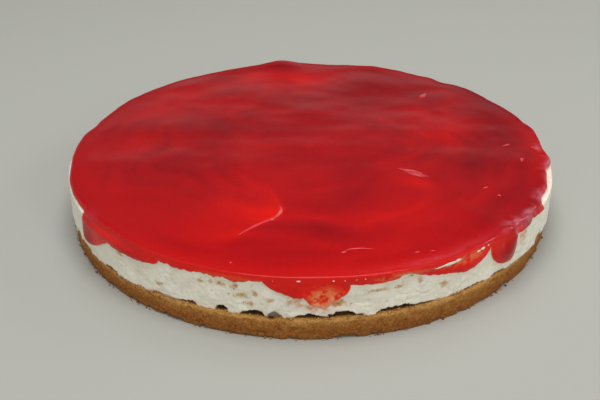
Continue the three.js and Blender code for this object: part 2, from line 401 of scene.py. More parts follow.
def biscuit_crumb_material():
    """Baked wheat biscuit crumb bound with butter: dry and matt, and darkened by painted shade where
    it lies in under the cream. The colour runs with height, because the middle soaked up more
    butter, moved by blotches of 9 mm. Each grain of about 1 mm has its own tone, and finer meal lies
    between them, where painted shade darkens it away from each grain's middle."""
    material = emptied(bpy.data.materials.new("butter_bound_biscuit_crumb"))
    inputs = {"Vector": place_in(material)}
    height = add_node(material, "ShaderNodeSeparateXYZ", inputs).outputs["Z"]
    blotched = moved(material, height, clouds(material, 110, 3, 0.6), 9 * MM)
    share = remapped(material, blotched, 4.5 * MM, (BISCUIT_TOP + 4.5) * MM)
    butter = [(0, "#855427"), (0.25, "#83491b"), (0.5, "#8d501d"), (0.75, "#9d682d"), (1, "#bb8c4e")]
    baked = coloured(material, share, butter)
    grain = [(0.1, "#7c481c"), (0.45, "#a06a32"), (0.75, "#b9823f"), (0.95, "#d6ab70")]
    grain_tone = coloured(material, attribute(material, "tone"), grain)
    mixed = blended(material, 0.3, baked, grain_tone)
    meal = clouds(material, 1400, 2, 0.7)
    shades = [
        # Painted shade: darker away from each grain's middle, in the dips between the grains.
        remapped(material, attribute(material, "crumb"), 0.3, 0.85, 1.12, 0.68),
        remapped(material, meal, 0.3, 0.7, 0.8, 1.2),
        # Painted shade under the cream: down to 0.35 of the colour.
        remapped(material, attribute(material, "shelter"), 0, 1, 1, 0.35),
    ]
    for shade in shades:
        inputs = {0: mixed, "Scale": shade}
        mixed = add_node(material, "ShaderNodeVectorMath", inputs, operation="SCALE").outputs[0]
    looks = {"Base Color": mixed, "Roughness": 0.85, "IOR": 1.45, "Specular IOR Level": 0.25}
    set_skin(material, looks | {"Normal": bumpy(material, meal, 0.4, 0.6)})
    return material


biscuit_crumb = biscuit_crumb_material()
base_piece = biscuit_base()
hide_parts("biscuit_base")

# The cream layer is whipped cream cheese set with gelatine, poured on the base inside the ring. Its
# wall is a little torn where the ring pulled away, with small air holes, knife marks, and dark
# hollows along its foot where it never reached the crumb.
CREAM_RADIUS = 129.1
CREAM_TOP = 29.7
CREAM_RISE = 0.5
CREAM_SINK = 0.2
CREAM_ARRIS = 1.2
# Where the cream's wall stands out, where the knife marked it, and where the ring tore the jelly.
CREAM_SWELLS = [(-172, 26, 1.7), (-134, 18, 1.0), (-22, 20, 2.9), (4, 12, 1.3)]
KNIFE_MARKS = [(-56, 10, 1), (120, 20, 0.8)]
TORN_PLACES = [(-111, 11, 1), (-87, 5, 1.2), (-64, 6, 0.35), (60, 14, 0.8), (160, 12, 0.8)]
# The mesh: columns round the cake and the angles that place them, rows up the wall and round the
# arris, and the rings on top.
COLUMNS = 2048
DENSE_ANGLES = 14401
CREAM_ROWS = 38
CREAM_ARRIS_ROWS = 4
CREAM_STEPS = (2.0, 3.0, 4.2, 6.0)
# Relief of the wall: height, size and seed of each noise.
CREAM_RELIEF = [(0.32, 9, 51), (0.14, (3.4, 3.4, 2.4), 52), (0.13, 1.5, 53), (0.07, 0.8, 57)]
# Steps of the golden ratio, which spread without repeating, give the far side's tongues, hollows
# and drags their places and sizes.
GOLDEN_STEP = 0.618034
# Tongues of jelly that ran down the side: angle, drop in mm, reach to the left and right in
# degrees, and fullness of each side, where 1 is a straight slope, 2 round and 5 a square step.
TONGUES = [
    (-144.3, 12.9, 3.8, 9.5, 2.6, 1.3), (-131, 5.3, 9, 9.4, 2.2, 2.8), (-110, 0.9, 13, 11, 2, 2),
    (-90.6, 8.6, 8.4, 8.6, 1.5, 4.2), (-88, 13.6, 4.4, 6, 1.7, 1.5), (-77.5, 2.6, 5.5, 5.8, 3, 3),
    (-56.4, 7.9, 13.5, 6.6, 1.25, 1.8), (-43.2, 14.9, 6.4, 2.5, 2, 3.4),
    (-38.8, 3, 3, 6.5, 1.5, 1.15), (-30.5, 1.9, 4.5, 4, 1.6, 1.8),
]
FAR_TONGUES = 9
FAR_TONGUE_FIRST = 2
FAR_TONGUE_SPACING = 20
for k in range(FAR_TONGUES):
    share, turned = k * GOLDEN_STEP % 1, (k * GOLDEN_STEP**2 + 0.35) % 1
    place = FAR_TONGUE_FIRST + FAR_TONGUE_SPACING * (k + 0.5 * turned)
    reaches = (4.5 + 4 * turned, 8 - 3.5 * turned)
    TONGUES.append((place, 1.6 + 7.6 * share**2, *reaches, 1.3 + 1.2 * share, 2.5 - 1.1 * share))
# Hollows in the cream's foot: angle and half width in degrees, height and depth in mm.
HOLLOWS = [
    (-154, 1.9, 3.4, 2.4), (-137, 2.4, 1.8, 1.5), (-114.6, 1.3, 2, 2.6), (-107.6, 1.4, 3.3, 3.4),
    (-100.8, 2.2, 3.1, 4), (-97, 1.7, 3, 0.95), (-90.2, 3, 2.1, 3.4), (-83.2, 2.8, 3.2, 3.6),
    (-72.5, 4.6, 2.3, 2.8), (-66.4, 3.4, 1.2, 1.6), (-54, 3.6, 1, 1.4), (-46.5, 2.4, 1.3, 1.6),
]
FAR_HOLLOWS = 16
for k in range(FAR_HOLLOWS):
    share = (k * GOLDEN_STEP + 0.2) % 1
    place = -30 + 235 / FAR_HOLLOWS * (k + 0.6 * share)
    HOLLOWS.append((place, 1.4 + 1.8 * share, 3.8 - 1.8 * share, 1.8 + 2 * share))
# Crumbs that were dragged up over the cream: angle, height in mm, reach along and up in mm, and how
# many lie there.
CRUMB_DRAGS = [
    (-132.7, 23.5, 2.5, 1, 9), (-122, 16.5, 3, 1.2, 9), (-112, 25, 2, 1, 5),
    (-108, 25.5, 4, 1.2, 13), (-104.5, 25.3, 2.2, 1.4, 8), (-103, 20.8, 5, 1.3, 14),
    (-100.6, 22.8, 1.6, 1.6, 7), (-102, 17.2, 4, 1, 10), (-97.4, 19.5, 2, 0.9, 5),
    (-93, 20, 3.5, 1.6, 12), (-90.2, 16.6, 2.2, 1.2, 8), (-84.2, 18.6, 4.2, 1.4, 16),
    (-76.5, 23.2, 5, 0.7, 7), (-72, 23.6, 2.6, 0.7, 5), (-69.6, 28.3, 1.2, 0.8, 5),
    (-67.7, 24.4, 1.4, 2, 9), (-62, 19.5, 2.4, 1.2, 5), (-37, 24, 2, 4, 14),
]
FAR_DRAGS = 18
for k in range(FAR_DRAGS):
    share, turned = (k * GOLDEN_STEP + 0.6) % 1, (k * GOLDEN_STEP**2 + 0.1) % 1
    place = -15 + 212 / FAR_DRAGS * (k + 0.7 * turned)
    reaches = (1.2 + 3 * turned, 0.7 + 0.9 * share * turned)
    CRUMB_DRAGS.append((place, 14.5 + 11 * share, *reaches, 3 + round(9 * turned)))
# Thin jelly spread on the cream, and a faint band of painted shade: angle, height in mm, reach along
# and up in mm, strength.
JELLY_SMEARS_AND_PAINTED_SHADE = [
    (-107, 29.6, 6, 0.8, 0.5), (-98, 28.4, 3, 0.8, 0.3), (-91.8, 18.6, 3.4, 2.2, 0.75),
    (-87.8, 16.6, 5, 3, 1), (-84.6, 19, 5, 2.4, 0.75), (-38, 25.4, 2.4, 5, 1),
    # Painted shade: this faint orange band dims the top of the cream's wall along the right, which
    # the lamps light strongly.
    (-20, 30.3, 34, 0.8, 0.3),
]


def tongue_drop(angle):
    """How far the jelly's edge drops at an angle: under each tongue the drop times
    (1 - share^full)^(1/full), where share is the turn over the reach, and the deepest wins."""
    drop = np.zeros_like(angle)
    for at, depth, left, right, full_left, full_right in TONGUES:
        turn = turn_between(angle, at)
        share = np.minimum(np.abs(turn) / np.where(turn < 0, left, right), 1)
        full = np.where(turn < 0, full_left, full_right)
        drop = np.maximum(drop, depth * (1 - share**full) ** (1 / full))
    return drop


def jelly_edge(angle):
    """Height of the jelly's lower edge on the side: the cream's top less the tongues' drop. Slow
    waves round the cake make it uneven."""
    ragged = wobble(angle, [23, 37, 51], 1.7) + wobble(angle, [5, 8, 11], 0.6)
    return CREAM_TOP - tongue_drop(angle) + UNEVENNESS * (ragged - 0.3)


def torn_edge(angle):
    """The jelly's lower edge with the teeth where the ring tore it: sharp points from noise whose
    absolute value makes creases."""
    place = ring(angle, CREAM_RADIUS, 0)
    teeth = 0.8 - 2.2 * np.abs(noise(place, 3.6, 31)) + 0.7 * noise(place, 1.3, 32)
    return jelly_edge(angle) + (0.16 + 0.62 * swell(angle, TORN_PLACES)) * teeth


def column_angles():
    """Angles of the columns that the cream's wall and the jelly's side share: equal steps along the
    jelly's edge, so that they are close where a tongue is steep."""
    dense = np.linspace(-180, 180, DENSE_ANGLES)
    steps = np.hypot(np.radians(np.diff(dense)) * CREAM_RADIUS, np.diff(jelly_edge(dense)))
    length = np.concatenate([[0], np.cumsum(steps)])
    return np.interp(np.arange(COLUMNS) / COLUMNS * length[-1], length, dense)


def cream_wall(angle):
    """Radius of the cream's wall before its relief."""
    leaning = CREAM_RADIUS + swell(angle, CREAM_SWELLS)
    return leaning + UNEVENNESS * wobble(angle, [3, 5, 8], 0.9)


columns = column_angles()


def side_oval(angle, height, at, middle, along, up):
    """How far a point of the side is from an oval's middle, squared: its turn as mm over the reach
    along, and its rise over the reach up."""
    across = np.radians(turn_between(angle, at)) * CREAM_RADIUS / along
    return across**2 + ((height - middle) / up) ** 2


def strongest(angle, height, ovals):
    """The strongest of several oval bells: its strength times e to the minus side_oval."""
    bells = [strength * np.exp(-side_oval(angle, height, *place)) for *place, strength in ovals]
    return np.max(bells, axis=0)


def hollow_depth(points, angle, rise):
    """How deep the hollows go: the depth times the root of 1 less the squared shares across and up,
    which noise makes ragged, and the deepest wins. Crevices join them where the wall reaches below
    the base's top."""
    ragged = 1 + layered(points, [(0.5, 2.6, 41), (0.25, 1.1, 47)])
    depth = np.zeros(rise.shape)
    for at, wide, high, deep in HOLLOWS:
        across = turn_between(angle, at) / wide
        left = 1 - (across**2 + (rise / high) ** 2) * ragged
        depth = np.maximum(depth, deep * np.sqrt(np.clip(2.5 * left, 0, 1)))
    crevice = smooth_step(noise(points, (7, 7, 30), 42), 0.1, 0.5)
    return np.maximum(depth, 1.6 * crevice * smooth_step(-rise, -1.5, -0.5))


def crumb_stain(points):
    """How much crumb and butter colours the cream, 0 to 1: the strongest drag of crumbs, spread up
    and down by half, and broken up by noise."""
    drags = [(at, height, along, 1.5 * up, 1) for at, height, along, up, _ in CRUMB_DRAGS]
    broken = layered(points, [(1, (2.3, 2.3, 1.6), 43), (0.6, 0.9, 44)])
    stain = strongest(angle_of(points), points[..., 2], drags)
    return smooth_step(1.1 * stain + 0.5 * broken, 0.25, 1.35)


def jelly_blush(points):
    """How much thin jelly, and the band of painted shade, colour the cream, 0 to 1: the strongest
    smear, broken up by noise.
    """
    broken = smooth_step(layered(points, [(1, 1.6, 45), (0.5, 0.8, 46)]), -0.6, 0.5)
    return broken * strongest(angle_of(points), points[..., 2], JELLY_SMEARS_AND_PAINTED_SHADE)


def cream_filling():
    """The cream as a solid of rings. Lumps, drag marks that are long round the cake, upright knife
    marks and air holes push its wall out and in, less so under the jelly."""
    foot, top = biscuit_surface(columns) - CREAM_SINK, CREAM_TOP + CREAM_RISE
    wall = cream_wall(columns)
    shares = np.linspace(0, 1, CREAM_ROWS)
    rows = [ring(columns, wall, foot + share * (top - CREAM_ARRIS - foot)) for share in shares]
    rows += rounded_rows(columns, wall, top, CREAM_ARRIS, CREAM_ARRIS_ROWS)
    rows += [ring(columns, wall - step, top) for step in CREAM_STEPS]
    rows = np.array(rows)
    below_jelly = 0.25 + 0.75 * smooth_step(torn_edge(columns) - rows[..., 2], 0.2, 2.5)
    near_top = 0.8 * smooth_step(rows[..., 2], CREAM_TOP - 0.4, CREAM_TOP + 0.2)
    relief = layered(rows, CREAM_RELIEF)
    tears = np.clip(1 - np.abs(noise(rows, (6, 6, 1.7), 54)) / 0.16, 0, 1)
    relief -= 0.32 * tears * smooth_step(noise(rows, 7, 58), -0.1, 0.4)
    relief += 0.26 * swell(columns, KNIFE_MARKS) * noise(rows, (1.3, 1.3, 16), 55)
    hole, hole_own = grains(rows, 2.6, 56)
    relief -= 0.5 * (hole_own > 0.66) * smooth_step(-hole, -0.26, -0.1)
    depth = hollow_depth(rows, columns, rows[..., 2] - foot)
    push = relief * np.maximum(below_jelly, near_top) - depth
    rows = rows + facing_out(rows) * push[..., None]
    return new_layer(
        "cream_filling_wall",
        hidden_disc(columns, CREAM_RADIUS, lambda turn: biscuit_surface(turn) - CREAM_SINK),
        rows,
        hidden_disc(columns, CREAM_RADIUS, lambda turn: top)[::-1],
        whipped_cream,
        "cream",
        fill=0,
        # Painted shade: the deeper the cream is pushed in at its foot, the darker brown it is
        # painted.
        hollow=np.clip(depth / 1.2, 0, 1),
        stain=crumb_stain(rows),
        blush=jelly_blush(rows),
    )


def whipped_cream_material():
    """Whipped cream cheese: off-white, soft and slightly shiny with fat, with light passing a couple
    of millimetres into it. It is clouded in patches of 6 mm and finely curdled. Butter from the
    crumb stains it ochre and the jelly stains it orange. Painted shade darkens its hollows brown,
    and a faint painted shade in the jelly's orange lies along the top of its wall at the right."""
    material = emptied(bpy.data.materials.new("set_whipped_cream_cheese"))
    cloud = clouds(material, 160, 4, 0.6)
    cream = coloured(material, cloud, [(0.3, "#dfdac9"), (0.7, "#efecdf")])
    tints = [("stain", "#bb8d3c", 0.85), ("blush", "#dc6a3a", 0.9), ("hollow", "#55290f", 0.97)]
    for label, tint, most in tints:
        amount = attribute(material, label)
        cream = blended(material, remapped(material, amount, 0, 1, 0, most), cream, linear(tint))
    curd = clouds(material, 1500, 3, 0.65)
    looks = {
        "Base Color": cream,
        "Roughness": 0.55,
        "IOR": 1.45,
        "Specular IOR Level": 0.35,
        "Subsurface Weight": 0.25,
        "Subsurface Radius": (1.0, 0.8, 0.6),
        "Subsurface Scale": 2 * MM,
        "Normal": bumpy(material, curd, 0.3, 0.35),
    }
    set_skin(material, looks)
    return material


whipped_cream = whipped_cream_material()
cream_piece = cream_filling()
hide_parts("cream_filling")

# The topping is a clear red fruit jelly, poured on the cream and set. It filled the hollows of the
# cream, so it is deeper and darker in some places, and it ran over the rim in tongues that bulge
# where they stopped.
JELLY_TOP = 33.3
# Its side: how thick its wall and its free edge are, the reach over which one swells to the other,
# and how far it sinks into the cream.
JELLY_WALL = 1.15
JELLY_LIP = 0.12
JELLY_SWELL = 2.4
JELLY_SINK = 0.6
# Its rim: its radius, the height of its bead, and how far the side stays inside it between tongues.
RIM_WALL = 128.8
RIM_BEAD = 0.085
RIM_HOLD = 0.9
# The mesh: rows up the side and round the rim, and the top's rings by their distance in from the
# cream's wall, of which the first have all points, the next half, and the rest ever fewer. The
# jelly's edge is sought in the neighbouring columns.
JELLY_ROWS = 17
RIM_ROWS = 10
TOP_STEPS = [0.7, 1.5, 2.4, 3.4, 4.6, *np.arange(6, 126, 1.5)]
FULL_STEPS = 3
HALF_STEPS = 5
NEIGHBOURS = 24
# Between which distances in from the wall the top's rings change from the rim's outline, height and
# depth to their own, and between which radii their columns go from even to the rim's.
OUTLINE_BLEND = (2, 30)
HEIGHT_BLEND = (0.5, 12)
DEPTH_BLEND = (2, 12)
COLUMN_BLEND = (50, CREAM_RADIUS)
# The depth in mm gives the jelly its colour: how deep the side looks for each mm of thickness and
# at most, and how deep the rim, the hidden points and the middle of the top look.
COLOUR_DEPTH = 1.8
DEEPEST = 4.2
RIM_DEPTH = 3.2
HIDDEN_DEPTH = 2.0
MIDDLE_DEPTH = 3.6
# How round the rim is, and where it is rounder.
RIM_ROUND = 0.65
RIM_SOFT = [
    (-170, 12, 0.6), (-143, 13, 2.3), (-44, 6, 2), (-26, 15, 1.6), (75, 30, 0.6), (150, 30, 0.9),
]
# Where the rim is lumpy. Then where a pale pink painted highlight stands for the lamps mirrored
# in the rim: angle, distance in from the rim, half lengths along and across in mm, strength.
RIM_FROST = [(-145, 6, 0.12), (-31, 15, 1), (-8, 8, 0.7), (12, 8, 0.3), (95, 10, 0.25)]
PAINTED_HIGHLIGHT_PATCHES = [
    (-144, 0.5, 5, 2, 0.1), (-64, 3, 20, 2, 0.26), (-62, 3.5, 38, 3, 0.14), (-45, 1, 2.5, 1, 0.45),
    (-41.5, 3, 3, 1.6, 0.5), (-39.6, 1, 4, 1.7, 1), (-37.5, -1.8, 5.5, 3, 1),
    (-34.5, 1.2, 5.5, 1.8, 0.9), (-26.8, 0.6, 4, 1.7, 1), (-26.5, 4.2, 3.5, 1.2, 0.5),
    (-24, 1, 5.5, 2.2, 1), (-17, 0.8, 4, 1.3, 0.8), (-9, 0.3, 5.5, 1.9, 1),
    (-1.5, 3, 3.5, 1.4, 0.7), (96, 1.5, 9, 2, 0.3),
]
# Where the jelly's side is thicker or thinner: angle, height in mm, reach along and up, extra mm.
BULGES = [
    (-145.6, 19.5, 6, 6, 1.2), (-131, 27, 7, 2, 0.4), (-94, 26, 6, 3, 0.4),
    (-88.1, 19.6, 7, 5, -0.3), (-57, 25, 8, 3, 0.7), (-45.8, 27, 1.6, 2, -0.7),
    (-43.8, 24, 6, 6.5, 2.2), (-42.5, 29, 2.5, 2.2, 0.9), (-36.5, 30.5, 4.5, 2.6, 1),
    (-26, 27.5, 6, 2, 0.5),
]
# Smears where the jelly only films the cream: angle, height, reach along and up, strength. A
# strength below 0 is painted shade, which deepens the colour where the jelly is no thicker.
JELLY_FILMS_AND_PAINTED_SHADE = [
    (-160, 31, 22, 5, -0.8), (-145.5, 22, 9, 9, -0.6), (-134, 30, 28, 6, -0.5),
    (-104, 29.5, 20, 2.6, 0.5), (-87.4, 15.8, 6, 3, 0.7), (-86.8, 20.2, 10.5, 9, 0.86),
    (-72, 30.2, 16, 2.8, 0.7), (-57.5, 29.4, 15, 3.2, 0.75), (-44.6, 22, 8, 9, -0.3),
    (-34, 29.5, 15, 5, -0.9),
]
# Where the rim stands out or in, where it rises, the lumps on its crest over the drip at the front
# right, and where painted shade makes it look deeper, and at the front right less deep.
RIM_SWELLS = [
    (-157, 8, 1.2), (-90, 45, 2.1), (-63, 13, 1.2), (-43.5, 4, 0.9), (-31, 4, 1.6), (-21, 7, 1.1),
    (-13.5, 4, -1.5), (-7, 3.5, 2.4), (9, 5, 1.8), (18, 6, 0.6), (40, 5, 1.3), (48, 2.5, -1.6),
    (52.5, 3, 0.8), (62, 4, 1.1), (70.5, 4, 1.2), (84, 4, -1), (90, 70, 0.8), (98.5, 5.5, 2.6),
    (120, 6, -1), (140, 18, 0.7), (159, 9, -1.5), (168, 3, -1.2),
]
RIM_RISES = [
    (-43.5, 3.6, 0.4), (-19, 8, -0.3), (40, 5, 0.2), (70.5, 4, 0.3), (90, 70, 0.35),
    (98.5, 5.5, 1.6), (159, 9, -0.1),
]
CREST_LUMPS = [
    (-46.5, 1.6, 0.35), (-43.6, 1.5, 0.8), (-41, 1.1, -0.5), (-39, 1.2, 0.5), (-35.5, 1.5, 0.3),
]
RIM_PAINTED_SHADES = [(-72, 25, -0.3), (-30, 20, 1.5), (28, 20, 1.2), (175, 20, 0.8), (-152, 22, 0.8)]
# Swellings and hollows of the cream under the jelly, seen from above: middle x and y in mm, half
# lengths in mm, turn in degrees, and how much higher the cream is there.
CREAM_SWELLINGS = [
    (32, 66, 36, 28, 0, -1.5), (-42, 26, 44, 17, -15, -1), (113, 36, 17, 32, 0, -1.4),
    (82, -20, 26, 13, -20, -0.9), (22, -48, 13, 26, 0, -0.7), (-82, -14, 24, 19, 0, -0.4),
    (-22, 72, 28, 15, 0, -0.5), (-15, 104, 22, 17, 0, 0.8), (76, 15, 17, 12, 0, 0.45),
    (82, 46, 12, 26, 0, 0.4), (56, -43, 12, 6, -35, 1), (62, -74, 28, 16, 0, 0.5),
    (22, -114, 30, 8, 5, 0.7), (-98, -3, 12, 24, 0, 0.5), (-31, -16, 16, 16, 0, 0.4),
    (-70, -84, 34, 22, -35, 0.1), (-88, -62, 26, 20, -40, -0.5), (27, -112, 24, 7, 0, -0.5),
    (73, -35, 20, 12, 0, -0.6), (-10, -12, 26, 14, 0, -0.6), (10, -95, 26, 12, 0, -0.3),
    (94, -66, 28, 9, 54, -1.1), (110, -34, 22, 9, 72, -0.5),
]
# The crest of a fold in the cream that nearly reaches the jelly's surface: x, y, and its share of
# the fold's height in mm. Then how far the fold falls off on its left and right, and the circle
# on which streaks are laid out.
FOLD = [
    (-38, -102, 0), (-30, -92, 0.4), (-23.6, -85.3, 0.75), (-17.5, -80.6, 0.95), (-14, -75, 1),
    (-13.2, -71, 1), (-14.8, -66, 0.8), (-16.5, -59, 0.5), (-20, -48, 0.2), (-25, -38, 0),
]
FOLD_HEIGHT = 1.5
FOLD_LEFT = 16
FOLD_RIGHT = 1.3
SPIN_RADIUS = 80


def distance_to_edge(edge, height):
    """Distance on the unrolled side to the jelly's lower edge: the least distance to the edge's
    points in the neighbouring columns."""
    along = np.radians(columns) * CREAM_RADIUS
    turn_length = 2 * math.pi * CREAM_RADIUS
    nearest = np.full(height.shape, 99.0)
    for step in range(-NEIGHBOURS, NEIGHBOURS + 1):
        apart = along - np.roll(along, step)
        apart -= turn_length * np.round(apart / turn_length)
        nearest = np.minimum(nearest, np.hypot(apart, height - np.roll(edge, step)))
    return nearest


def side_thickness(edge, height):
    """Thickness of the jelly over the wall: a blunt lip that swells to the full wall as a quarter
    circle does, with bulges, and thicker at each far tongue's end."""
    full = JELLY_WALL + 0.15 * wobble(columns, [14, 22, 31], 0.7)
    for *place, extra in BULGES:
        full = full + extra * np.exp(-side_oval(columns, height, *place))
    for at, drop, *_ in TONGUES[-FAR_TONGUES:]:
        end = np.exp(-(((height - CREAM_TOP + drop) / 4) ** 2))
        full = full + 0.1 * drop * bell(columns, at, 3) * end
    share = np.minimum(distance_to_edge(edge, height) / JELLY_SWELL, 1)
    return JELLY_LIP + (full - JELLY_LIP) * np.sqrt(1 - (1 - share) ** 2)


def spun(points):
    """Coordinates for streaks that run round the cake, as the pouring and turning left them: the
    angle as a place on one circle, and the radius."""
    radius = radius_of(points)
    share = SPIN_RADIUS / np.maximum(radius, 1)
    return np.stack([points[..., 0] * share, points[..., 1] * share, radius], -1)


def films_and_painted_shade(points, depth):
    """Depth that gives the side its colour. Over each smear noise thins it to films and streaks, by
    up to the smear's strength. A strength below 0 deepens it smoothly, as painted shade."""
    angle = angle_of(points)
    streaks = layered(points, [(0.8, 3.1, 36), (0.8, (1.3, 1.3, 1.1), 37)])
    thin = smooth_step(streaks, -1.2, 0.1)
    for *place, strength in JELLY_FILMS_AND_PAINTED_SHADE:
        reach = np.exp(-(side_oval(angle, points[..., 2], *place) ** 2))
        depth = depth * (1 - strength * reach * (thin if strength > 0 else 1))
    return depth


def rim_frost(angle):
    """How lumpy the rim is at an angle, 0 to 1."""
    return np.clip(swell(angle, RIM_FROST), 0, 1)


def rim_lumps(angle):
    """How far small lumps push the rim out or in, in mm: noise, stronger where it is lumpy and at
    the back, where the rim is scalloped."""
    lumps = layered(ring(angle, CREAM_RADIUS, 0), [(0.8, 6.5, 33), (0.25, 3.2, 34)])
    scallops = 0.3 * smooth_step(np.sin(np.radians(angle)), 0, 0.5)
    return lumps * np.minimum(0.15 + scallops + 0.85 * rim_frost(angle), 1)


def rim_wall(angle):
    """Radius of the rim at an angle."""
    leaning = RIM_WALL + swell(angle, RIM_SWELLS) + rim_lumps(angle)
    return leaning + UNEVENNESS * wobble(angle, [9, 13, 17], 2.3)


def rim_rise(angle):
    """How far the rim rises at an angle, in mm."""
    return swell(angle, RIM_RISES) + 0.7 * UNEVENNESS * wobble(angle, [4, 6, 9], 1.1)


def rim_bumps(angle):
    """How far small bumps lift the rim's crest at an angle, in mm: noise where it is lumpy, and
    the crest's lumps."""
    small = 0.3 * rim_frost(angle) * noise(ring(angle, 120, 0), 3.6, 35)
    return small + swell(angle, CREST_LUMPS)


def oval(points, x, y, long, wide, turn):
    """A turned oval bell on the plan: e to the minus squared shares along its two half lengths."""
    across, up = points[..., 0] - x, points[..., 1] - y
    cosine, sine = math.cos(math.radians(turn)), math.sin(math.radians(turn))
    first, second = across * cosine + up * sine, up * cosine - across * sine
    return np.exp(-((first / long) ** 2) - (second / wide) ** 2)


def fold_rise(points):
    """Height of the cream's fold: it falls off slowly on the fold's left and sharply on its right,
    from the nearest stretch of its crest."""
    best = np.full(points.shape[:-1], 999.0)
    rise = np.zeros(points.shape[:-1])
    for (x0, y0, h0), (x1, y1, h1) in zip(FOLD, FOLD[1:]):
        step = np.array([x1 - x0, y1 - y0])
        offset = points[..., :2] - (x0, y0)
        share = np.clip(offset @ step / (step @ step), 0, 1)
        apart = offset - share[..., None] * step
        distance = np.linalg.norm(apart, axis=-1)
        left = step[0] * apart[..., 1] - step[1] * apart[..., 0] > 0
        right_fall = np.exp(-((distance / FOLD_RIGHT) ** 2))
        fall = np.where(left, np.exp(-distance / FOLD_LEFT), right_fall)
        closer = distance < best
        best = np.where(closer, distance, best)
        rise = np.where(closer, FOLD_HEIGHT * (h0 + share * (h1 - h0)) * fall, rise)
    return rise


def jelly_surface(points):
    """Height of the jelly's top over the plan: level, with the rim's rise near the edge, and soft
    waves that are longer round the cake than across it and stronger towards the back."""
    flat = points * (1, 1, 0)
    back = 0.3 + 0.7 * smooth_step(points[..., 1], -70, 50)
    waves = layered(flat, [(0.3, (40, 24, 1), 61), (0.1, (19, 10, 1), 62)])
    rise = rim_rise(angle_of(points)) * (radius_of(points) / CREAM_RADIUS) ** 6
    return JELLY_TOP + rise + back * waves + 0.04 * noise(flat, 7, 63)


def jelly_depth(points):
    """Depth of the jelly under the top: from its surface down to the cream, with its fold, its
    waves, its streaks and its swellings."""
    flat = points * (1, 1, 0)
    warped = flat + 10 * np.stack([noise(flat, 28, 66), noise(flat, 24, 67), 0 * flat[..., 0]], -1)
    streaks = layered(spun(warped), [(0.5, (26, 26, 9), 65), (0.25, (20, 20, 4), 68)])
    streaks *= smooth_step(radius_of(points), 8, 60)
    cream = CREAM_TOP - 0.15 + fold_rise(points) - 0.4 * smooth_step(points[..., 1], -95, 10)
    cream += 0.45 * noise(warped, (34, 24, 1), 64) + streaks
    for *place, rise in CREAM_SWELLINGS:
        cream = cream + rise * oval(points, *place)
    return np.maximum(points[..., 2] - cream, 0.2)


def rim_depth(points):
    """Depth that gives the rim its colour: deeper at the back and in a few places, which is painted
    shade on the rim's rounding, and less deep at the front right."""
    # Painted shade: the far rim is darkened.
    back = 1.3 * smooth_step(points[..., 1], -20, 90)
    return RIM_DEPTH + swell(angle_of(points), RIM_PAINTED_SHADES) + back


def painted_highlight_share(points):
    """How much painted highlight the jelly gets, 0 to 1, a pale pink that stands for the lamps
    mirrored in it: the strongest patch along the rim, where a drop below the rim counts as a
    distance out, broken up by streaks of noise."""
    angle = angle_of(points)
    inward = rim_wall(angle) - radius_of(points) - np.maximum(JELLY_TOP - 1 - points[..., 2], 0)
    streaks = noise(spun(points), (3.5, 3.5, 1.1), 39) + 0.6 * noise(points, 1.8, 40)
    fine = 0.3 + 0.7 * smooth_step(streaks, -1, 0.4)
    return 0.9 * fine * strongest(angle, inward, PAINTED_HIGHLIGHT_PATCHES)


def jelly_side():
    """Rings and colour depths of the underside just inside the cream, the tongues' blunt lower edge
    and outer side, and the rounded rim with its slight bead, and the rim's inner radius. Between
    tongues the side lies on top of the cream."""
    wall, rim, bumps = cream_wall(columns), rim_wall(columns), rim_bumps(columns)
    rim_height = JELLY_TOP + rim_rise(columns)
    draped = smooth_step(tongue_drop(columns), 0.2, 1.4)
    held = wall - (1 - draped) * np.maximum(wall - rim + RIM_HOLD, 0)
    on_top = smooth_step(wall - held, 0.1, 1.2)
    edge = torn_edge(columns) + on_top * (CREAM_TOP + CREAM_RISE - 0.15 - torn_edge(columns))
    edge = np.minimum(edge, rim_height - RIM_ROUND - 0.7)
    rounding = np.minimum(RIM_ROUND + swell(columns, RIM_SOFT), rim_height - edge - 0.3)
    rows = [ring(columns, held - JELLY_SINK, height) for height in (CREAM_TOP - JELLY_SINK, edge)]
    depths = [np.full(COLUMNS, HIDDEN_DEPTH)] * len(rows)
    for share in np.linspace(0, 1, JELLY_ROWS) ** 1.2:
        height = edge + share * (rim_height - rounding - edge)
        thickness = side_thickness(edge, height)
        lean = (rim - held - JELLY_WALL) * smooth_step(height, CREAM_TOP - 2, JELLY_TOP - 1)
        outer = held + thickness + lean
        rows.append(ring(columns, outer, height))
        seen = DEEPEST * (1 - np.exp(-COLOUR_DEPTH * thickness / DEEPEST))
        side_depth = films_and_painted_shade(rows[-1], seen)
        depths.append(side_depth)
    for turn in np.linspace(0, math.pi / 2, RIM_ROWS)[1:]:
        radius = outer - rounding * (1 - math.cos(turn))
        bead = RIM_BEAD * smooth_step(turn, 0.5, 1.5)
        height = rim_height - rounding * (1 - math.sin(turn)) + bead + bumps * math.sin(turn)
        rows.append(ring(columns, radius, height))
        # Painted shade: the rounding takes the rim's deeper colour early, so that it looks darker.
        share = math.sqrt(turn / (math.pi / 2))
        depths.append(side_depth + (rim_depth(rows[-1]) - side_depth) * share)
    return rows, depths, outer - rounding


